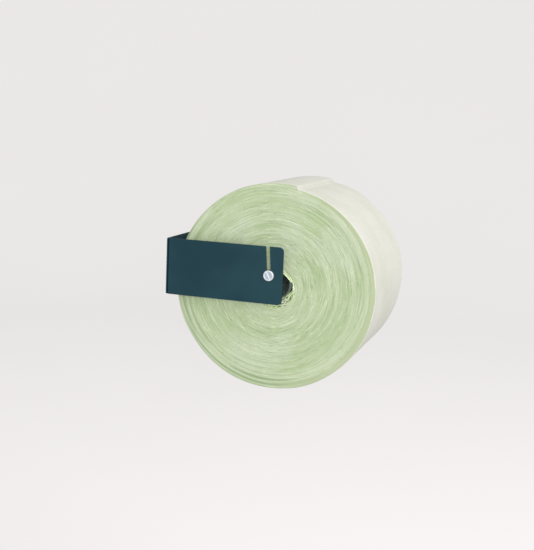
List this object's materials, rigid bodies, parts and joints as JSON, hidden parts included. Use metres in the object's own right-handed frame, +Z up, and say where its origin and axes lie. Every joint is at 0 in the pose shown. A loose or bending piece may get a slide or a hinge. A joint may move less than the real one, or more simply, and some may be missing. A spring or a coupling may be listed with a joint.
{
  "type": "panel-mounted paper roll holder",
  "caption": "Hook-on sheet-steel holder for a perforated panel: its lift-out spindle lies in slotted arms and carries a large roll of crepe wiping paper.",
  "frame": {"origin": "centre of the back plate's rear face, which lies on the panel", "axes": "+Z up, +X along the spindle, +Y into the panel, so the arms reach out along -Y"},
  "size_m": [0.302, 0.3971, 0.376],
  "materials": {
    "powder_coat": "satin",
    "zinc_steel": "satin",
    "black_nylon": "matte",
    "crepe_paper": "matte",
    "core_board": "matte"
  },
  "bodies": {
    "bracket": {"back_plate": "powder_coat", "arm_left": "powder_coat", "arm_right": "powder_coat", "arm_rivets_left": "zinc_steel", "arm_rivets_right": "zinc_steel", "hook_upper_left": "zinc_steel", "hook_upper_right": "zinc_steel", "hook_lower_left": "zinc_steel", "hook_lower_right": "zinc_steel", "hook_rivets": "zinc_steel", "lock_sleeve_left": "black_nylon", "lock_sleeve_right": "black_nylon"},
    "lift_washers": {"washer_left": "black_nylon", "washer_right": "black_nylon"},
    "spindle": {"spindle_tube": "zinc_steel", "end_plug_left": "zinc_steel", "end_plug_right": "zinc_steel", "end_screw_left": "zinc_steel", "end_screw_right": "zinc_steel"},
    "roll": {"roll_core": "core_board", "paper_roll": "crepe_paper", "outer_sheet": "crepe_paper"},
    "lock_pin_left": {"lock_pin_left": "black_nylon"},
    "lock_pin_right": {"lock_pin_right": "black_nylon"}
  },
  "joints": [
    {"name": "spindle_lift", "type": "slide", "parent": "bracket", "child": "lift_washers", "axis": [0, 0.0785, 0.9969], "range_m": [0, 0.058]},
    {"name": "spindle_spin", "type": "hinge", "parent": "lift_washers", "child": "spindle", "pos_m": [0, -0.2005, 0], "axis": [1, 0, 0], "continuous": true},
    {"name": "roll_spin", "type": "hinge", "parent": "lift_washers", "child": "roll", "pos_m": [0, -0.20366, -0.01792], "axis": [1, 0, 0], "continuous": true},
    {"name": "lock_pin_pull_left", "type": "slide", "parent": "bracket", "child": "lock_pin_left", "axis": [0, -1, 0], "range_m": [0, 0.0035]},
    {"name": "lock_pin_pull_right", "type": "slide", "parent": "bracket", "child": "lock_pin_right", "axis": [0, -1, 0], "range_m": [0, 0.0035]}
  ]
}
